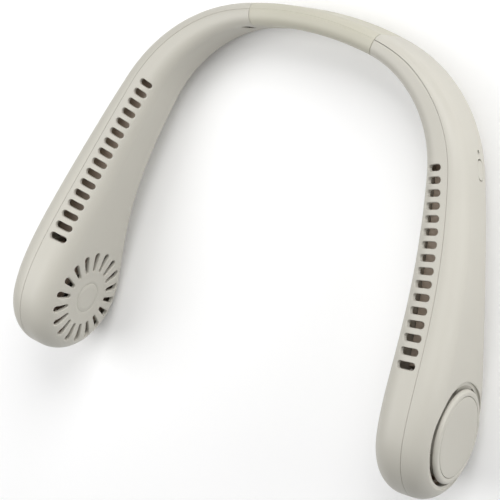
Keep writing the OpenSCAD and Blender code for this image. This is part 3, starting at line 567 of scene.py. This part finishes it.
def mould_line(profile):
    """Lowers the outline by a fine groove where the band's mould parts, above and below, in line with the
    parting line of the arms."""
    depth = mould_depth*np.exp(-((profile[:, 0] - mould_n)/mould_w)**2)*(np.abs(profile[:, 1]) > mould_h)
    return profile - np.stack([0*depth, depth*np.sign(profile[:, 1])], -1)


def swept(profiles, s):
    """Flat closed profiles, outward and upward from the arm's middle, set across it at lengths s."""
    p, along, outward, upward = axes(s)
    return p[:, None] + profiles[..., :1]*outward[:, None] + profiles[..., 1:]*upward[:, None]


def band_profiles(shares):
    """The band's outline at lengths from its middle out to its rounded end and back along the cavity."""
    s = [np.linspace(0, band_end - end_round, band_steps + 1)]
    profiles = [mould_line(rounded(band_t, band_h, band_edge, shares))]*len(s[0])
    for v in fillet[1:]:
        inset = end_round*(1 - math.cos(v))
        s.append([band_end - end_round*(1 - math.sin(v))])
        profiles.append(mould_line(rounded(band_t - 2*inset, band_h - 2*inset, band_edge - inset, shares)))
    s.append(np.linspace(band_end, 0, cavity_steps + 1))
    cavity = rounded(band_t - 2*sleeve_wall, band_h - 2*sleeve_wall, band_edge - sleeve_wall, shares)
    profiles += [cavity]*len(s[-1])
    return np.stack(profiles + profiles[:1]), np.concatenate(s + [[0]])


# Silicone gives a softer, warmer grey than the shells: its highlight is wide and it shows no grain.
silicone = finish("liquid_silicone", "#c0bdaf", "#bcb9aa", 0.5, 1.41, 30, 0.4, 0.003)
# Spring wire, drawn and left bright: fine lines run round it from the die.
spring_steel = finish("drawn_spring_steel", "#a9aaab", "#97989a", 0.3, 1.5, 4, 0.1, 0.002, Metallic=1.0)
# PVC over stranded copper: smooth, black and slightly glossy.
pvc_jacket = finish("pvc_jacket", "#26241f", "#1d1b18", 0.38, 1.53, 8, 0.3, 0.003)
# even shares of the outline, and closer ones over the mould line above and below
even, fine = np.arange(outline_count)/outline_count, np.arange(fine_count)/fine_count
outline = rounded(band_t, band_h, band_edge, fine)
close = fine[(np.abs(outline[:, 0] - mould_n) < mould_side) & (np.abs(outline[:, 1]) > mould_h)][::2]
apart = (np.abs(even[:, None] - close) >= least_step).all(1)
band_shares = np.sort(np.concatenate([even[apart], close]))
tube_turn = 2*math.pi*np.arange(tube_sides)/tube_sides
for side, mirrored in (("left", True), ("right", False)):
    # each half is swept along the middle line from the band's middle out to its rounded end
    piece = solid(f"{side}_band_half", [quads(swept(*band_profiles(band_shares)), wrap=True)], mirrored)
    piece.data.materials.append(silicone)
    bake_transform(piece)
    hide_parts("neck_sleeve")
    for name, r, heights, node, slot, material in (
            ("wires", wire_r, (-wire_h, wire_h), "memory_wires", "steel", spring_steel),
            ("lead", cable_r, (0,), "neck_cable", "cable_jacket", pvc_jacket)):
        tubes = []
        for h in heights:
            ring = np.stack([r*np.cos(tube_turn), h + r*np.sin(tube_turn)], -1)
            grid = swept(np.repeat(ring[None], tube_steps + 1, 0), np.linspace(0, band_end, tube_steps + 1))
            tubes += [quads(grid, wrap=True)] + [(grid[k], [list(range(tube_sides))]) for k in (0, -1)]
        piece = solid(f"{side}_band_{name}", tubes, mirrored)
        piece.data.materials.append(material)
        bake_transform(piece)
        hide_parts(node)


# Caps: an ABS ring with a round shoulder stands on the floor of each recess, and a flat plate is pressed into
# it, with a hair-fine groove between them. Air enters only through the ring-shaped gap all round.
cap_r, cap_top, foot_r, rim_low = 19.3, 13.6, 17.2, 11.6
plate_r, groove_w, plate_low, skirt_out, skirt_in = 16.6, 0.15, 12.2, 14.9, 13.3
shoulder_round, edge_round = 1.4, 0.3
dish = ((0, 0.1), (4, 0.1), (9, 0.08), (13, 0.04))


def turned(profile):
    """A profile of radii and distances from the pod's middle plane, carried round the pod's axis."""
    profile = np.asarray(profile, float)
    return quads(pod_middle + profile[:, None, 1:]*pod_outward + profile[:, None, :1]*pod_spokes, wrap=True)


def arc(r, n, radius, first, last, steps):
    """Points of a circle in a profile, between two angles from the outward radius towards the outer face."""
    v = np.linspace(first, last, steps + 1)
    return np.stack([r + radius*np.cos(v), n + radius*np.sin(v)], -1)


bore_r = plate_r + groove_w
cap_ring = np.concatenate([
    [[bore_r, floor_n], [foot_r, floor_n], [foot_r, rim_low]],
    arc(cap_r - edge_round, rim_low + edge_round, edge_round, -quarter, 0, 4),
    arc(cap_r - shoulder_round, cap_top - shoulder_round, shoulder_round, 0, quarter, 12),
    arc(bore_r + edge_round, cap_top - edge_round, edge_round, quarter, 2*quarter, 5),
    [[bore_r, floor_n]]])
cap_face = np.concatenate([
    [[r, cap_top - depth] for r, depth in dish],
    arc(plate_r - edge_round, cap_top - edge_round, edge_round, quarter, 0, 5),
    [[plate_r, plate_low], [skirt_out, plate_low], [skirt_out, floor_n], [skirt_in, floor_n],
     [skirt_in, plate_low], [6, plate_low], [0, plate_low]]])
for side, mirrored in (("left", True), ("right", False)):
    for name, profile, node in (("cap_ring", cap_ring, "cap_rim"), ("cap_face", cap_face, "cap_plate")):
        piece = solid(f"{side}_{name}", [turned(profile)], mirrored)
        piece.data.materials.append(abs_plastic)
        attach(piece, f"{side}_arm")
        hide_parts(f"{side}_{node}")


# Power button: an ABS cap with a soft edge in its own opening, with a flange behind the wall that holds it
# and a stem that pushes the switch. The levels of its rings are measured from the arm's face, and its top is
# slightly hollow.
flange_len, flange_w, stem_w = 9, 5.4, 1.6
button_top, flange_top, flange_low, stem_low = -0.03, -1.9, -2.6, -3.05
button_round, button_drop, pole_w = 0.3, 0.15, 0.002
button_hollow = ((5.6, 2, -0.07), (3.6, pole_w, -0.09))
button_sides = 96


def at_button(points):
    """Points given along the arm, across it and outward from its face, put at the button."""
    face_point = lambda s: axes(s)[0] + section(s)[0]*axes(s)[2] + face_y*axes(s)[3]
    x = face_point(np.array(button_s + button_len/2)) - face_point(np.array(button_s - button_len/2))
    x /= np.linalg.norm(x)
    z = np.cross(axes(button_s)[3], x)
    z /= np.linalg.norm(z)
    return face_point(np.array(button_s)) + points @ np.stack([x, np.cross(z, x), z])


def pill(rings):
    """Rings of a slot shape: each has its length, its width and its level. A half circle of its width closes
    each end, and a straight piece joins them."""
    turn = 2*math.pi*(np.arange(button_sides) + 0.5)/button_sides
    length, width, level = (np.array(v, float)[:, None] for v in zip(*rings))
    x = width/2*np.cos(turn) + (length - width)/2*np.sign(np.cos(turn))
    return np.stack([x, width/2*np.sin(turn), level + 0*turn], -1)


button = [(pole_w, pole_w, stem_low), (stem_w, stem_w, stem_low), (stem_w, stem_w, flange_low),
          (flange_len, flange_w, flange_low), (flange_len, flange_w, flange_top),
          (button_len, button_w, flange_top)]
for v in quarter*np.arange(6, -1, -1)/6:
    inset = button_round*(1 - math.sin(v))
    button.append((button_len - inset, button_w - inset, button_top - button_drop*(1 - math.cos(v))))
button += button_hollow
grid = at_button(pill(button))
poles = [(grid[k], [list(range(button_sides))]) for k in (0, -1)]
piece = solid("button_cap", [quads(grid, wrap=True)] + poles)
piece.data.materials.append(abs_plastic)
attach(piece, "power_button")
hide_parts("power_button")


# Blowers: under the grille of each pod a fan wheel is pressed over the can of a small motor, and the motor's
# base is screwed to three bosses inside the grille. The wheel throws air into the arm over a moulded guide.
def dress(material, *nodes):
    """Gives a finish to solids that stay as they are."""
    for name in nodes:
        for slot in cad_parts[name].material_slots:
            slot.link = "OBJECT"
            slot.material = material


# Inside parts get a paler, warmer colour than the shells' ABS. This is painted light: it brightens the deep
# shade behind the slots, so that light bouncing between them comes out brown.
inner_abs_painted_light = finish("inner_abs_painted_light", "#e4d3c3", "#dccab9", 0.5, 1.53, 20, 0.3, 0.004)
# The wheel is thin-walled polybutylene: harder than the guide, and matt from its spark-eroded mould. Its
# pale, warm colour is painted light like the guide's, brightening the shade behind the slots.
wheel_pbt_painted_light = finish("wheel_pbt_painted_light", "#dac8b8", "#d2bfae", 0.58, 1.55, 12, 0.3, 0.003)
# Deep-drawn can with bright nickel: the drawing leaves fine lines that blur the highlight.
nickel_plate = finish("nickel_plate", "#b3afa8", "#a29f99", 0.28, 1.5, 5, 0.12, 0.003, Metallic=1.0)
# Ground shaft: the smoothest surface in the motor.
ground_steel = finish("ground_steel", "#bcbcbb", "#aeaeae", 0.18, 1.5, 3, 0.08, 0.001, Metallic=1.0)
# Enamelled copper wire, 0.25 mm thick: its turns show as close ridges, drawn at their real pitch.
copper_wire = finish("enamelled_copper", "#b4673a", "#9a5230", 0.32, 1.5, 2, 0.25, 0.05, Metallic=1.0)
# Glass-filled nylon of the base: black, matt and slightly mottled by the fibres.
filled_nylon = finish("glass_filled_nylon", "#302e2b", "#262422", 0.55, 1.53, 2, 0.3, 0.01)
# Sintered bronze holds oil in its pores, so it is dull and finely pitted.
sintered_bronze = finish("sintered_bronze", "#a07c4c", "#8a683d", 0.45, 1.5, 1, 0.12, 0.02, Metallic=1.0)
# Zinc-plated screws have a bluish, cloudy shine.
zinc_plate = finish("zinc_plate", "#b4b7ba", "#9c9fa4", 0.33, 1.5, 2, 0.2, 0.005, Metallic=1.0)
for side in ("left", "right"):
    dress(inner_abs_painted_light, f"{side}_air_guide")
    dress(wheel_pbt_painted_light, f"{side}_impeller")
    dress(nickel_plate, f"{side}_rotor_can")
    dress(ground_steel, f"{side}_shaft")
    dress(copper_wire, f"{side}_stator")
    dress(filled_nylon, f"{side}_motor_base")
    dress(sintered_bronze, f"{side}_bearings")
    dress(zinc_plate, f"{side}_motor_screws")


# Power: a cell in a shrink sleeve lies under each guide, a lead runs from the band to the motor, and a plug
# of soft plastic closes each arm's start. The charging port sits in the left arm, and in the right one the
# main board with its switch and its lens, a clear rod that carries the light from the board.

# Shrink sleeve of thin PVC: blue-grey and glossy, drawn tight so that it hardly ripples.
shrink_sleeve = finish("pvc_shrink_sleeve", "#4b6e8c", "#436582", 0.25, 1.53, 15, 3, 0.02)
# Soft PVC of the plug: dark, matt and a little uneven.
soft_plug = finish("soft_pvc", "#3a3733", "#302d2a", 0.6, 1.52, 6, 0.4, 0.008)
# Board of glass and epoxy under green solder mask: the weave, 0.5 mm apart, shows faintly through the gloss.
solder_mask = finish("green_solder_mask", "#2f6242", "#265337", 0.3, 1.55, 1, 0.5, 0.01)
# Light pipe of polycarbonate: clear, but frosted at its ends.
light_pipe = finish("frosted_polycarbonate", "#c9c7c0", "#bdbbb4", 0.35, 1.585, 2, 0.1, 0.002,
                    Transmission_Weight=0.6)
for side in ("left", "right"):
    dress(shrink_sleeve, f"{side}_battery")
    dress(pvc_jacket, f"{side}_motor_lead")
    dress(soft_plug, f"{side}_neck_plug")
dress(solder_mask, "usb_board", "main_board")
dress(zinc_plate, "board_screws")
dress(filled_nylon, "power_switch")
dress(nickel_plate, "usb_port")
dress(light_pipe, "status_lens")


# Studio: the object lies on a plain pale floor under large soft lights, and the camera looks down on it from
# the side of the right arm, turned so that the band is at the top of the picture. Its lengths are in metres.
azimuth, elevation, roll = math.radians(111.778), math.radians(57.609), math.radians(-96.265)
distance, focal_px, image_px, sensor_mm = 0.674498, 1543.984, 500, 36
aim = np.array([-0.012347, -0.01907, 0.013])
floor_half, world_strength = 3, 0.3
level = math.cos(elevation)
back = np.array([math.sin(azimuth)*level, -math.cos(azimuth)*level, math.sin(elevation)])
right = np.cross(-back, [0, 0, 1])
right /= np.linalg.norm(right)
up = np.cross(right, -back)
right, up = right*math.cos(roll) + up*math.sin(roll), -right*math.sin(roll) + up*math.cos(roll)
lens = bpy.data.cameras.new("studio_camera")
lens.sensor_width = sensor_mm
lens.lens = focal_px/image_px*sensor_mm
camera = bpy.data.objects.new("studio_camera", lens)
columns = np.column_stack([right, up, back, aim + distance*back])
camera.matrix_world = Matrix(np.vstack([columns, [0, 0, 0, 1]]))
bpy.context.scene.collection.objects.link(camera)
bpy.context.scene.camera = camera

# Matt paper, lit so that it comes out almost white.
paper = finish("matt_paper", "#ffffff", "#fdfdfd", 0.9, 1.4, 300, 2, 0.01)
corners = [(x*floor_half, y*floor_half, 0) for x, y in ((-1, -1), (1, -1), (1, 1), (-1, 1))]
floor_mesh = bpy.data.meshes.new("studio_floor")
floor_mesh.from_pydata(corners, [], [(0, 1, 2, 3)])
floor_mesh.materials.append(paper)
floor = bpy.data.objects.new("studio_floor", floor_mesh)
bpy.context.scene.collection.objects.link(floor)


def softbox(name, place, size, power):
    """A square area light at a place, aimed at the middle of the object."""
    light = bpy.data.lights.new(name, "AREA")
    light.size = size
    light.energy = power
    lamp = bpy.data.objects.new(name, light)
    towards = Vector((0, 0, 0.02)) - Vector(place)
    lamp.matrix_world = Matrix.Translation(place) @ towards.to_track_quat("-Z", "Y").to_matrix().to_4x4()
    bpy.context.scene.collection.objects.link(lamp)


softbox("top_light", place=(0, 0, 0.9), size=0.6, power=0.9)
softbox("nape_light", place=(0.26, 0.64, 0.65), size=0.5, power=4.5)
softbox("right_light", place=(0.6, 0.3, 0.1), size=0.5, power=2.1)
softbox("left_light", place=(-0.33, -0.07, 0.5), size=0.4, power=1.5)
world = bpy.data.worlds.new("studio_light")
world.use_nodes = True
world.node_tree.nodes["Background"].inputs["Color"].default_value = (1, 1, 1, 1)
world.node_tree.nodes["Background"].inputs["Strength"].default_value = world_strength
bpy.context.scene.world = world
bpy.context.scene.view_settings.view_transform = "Standard"
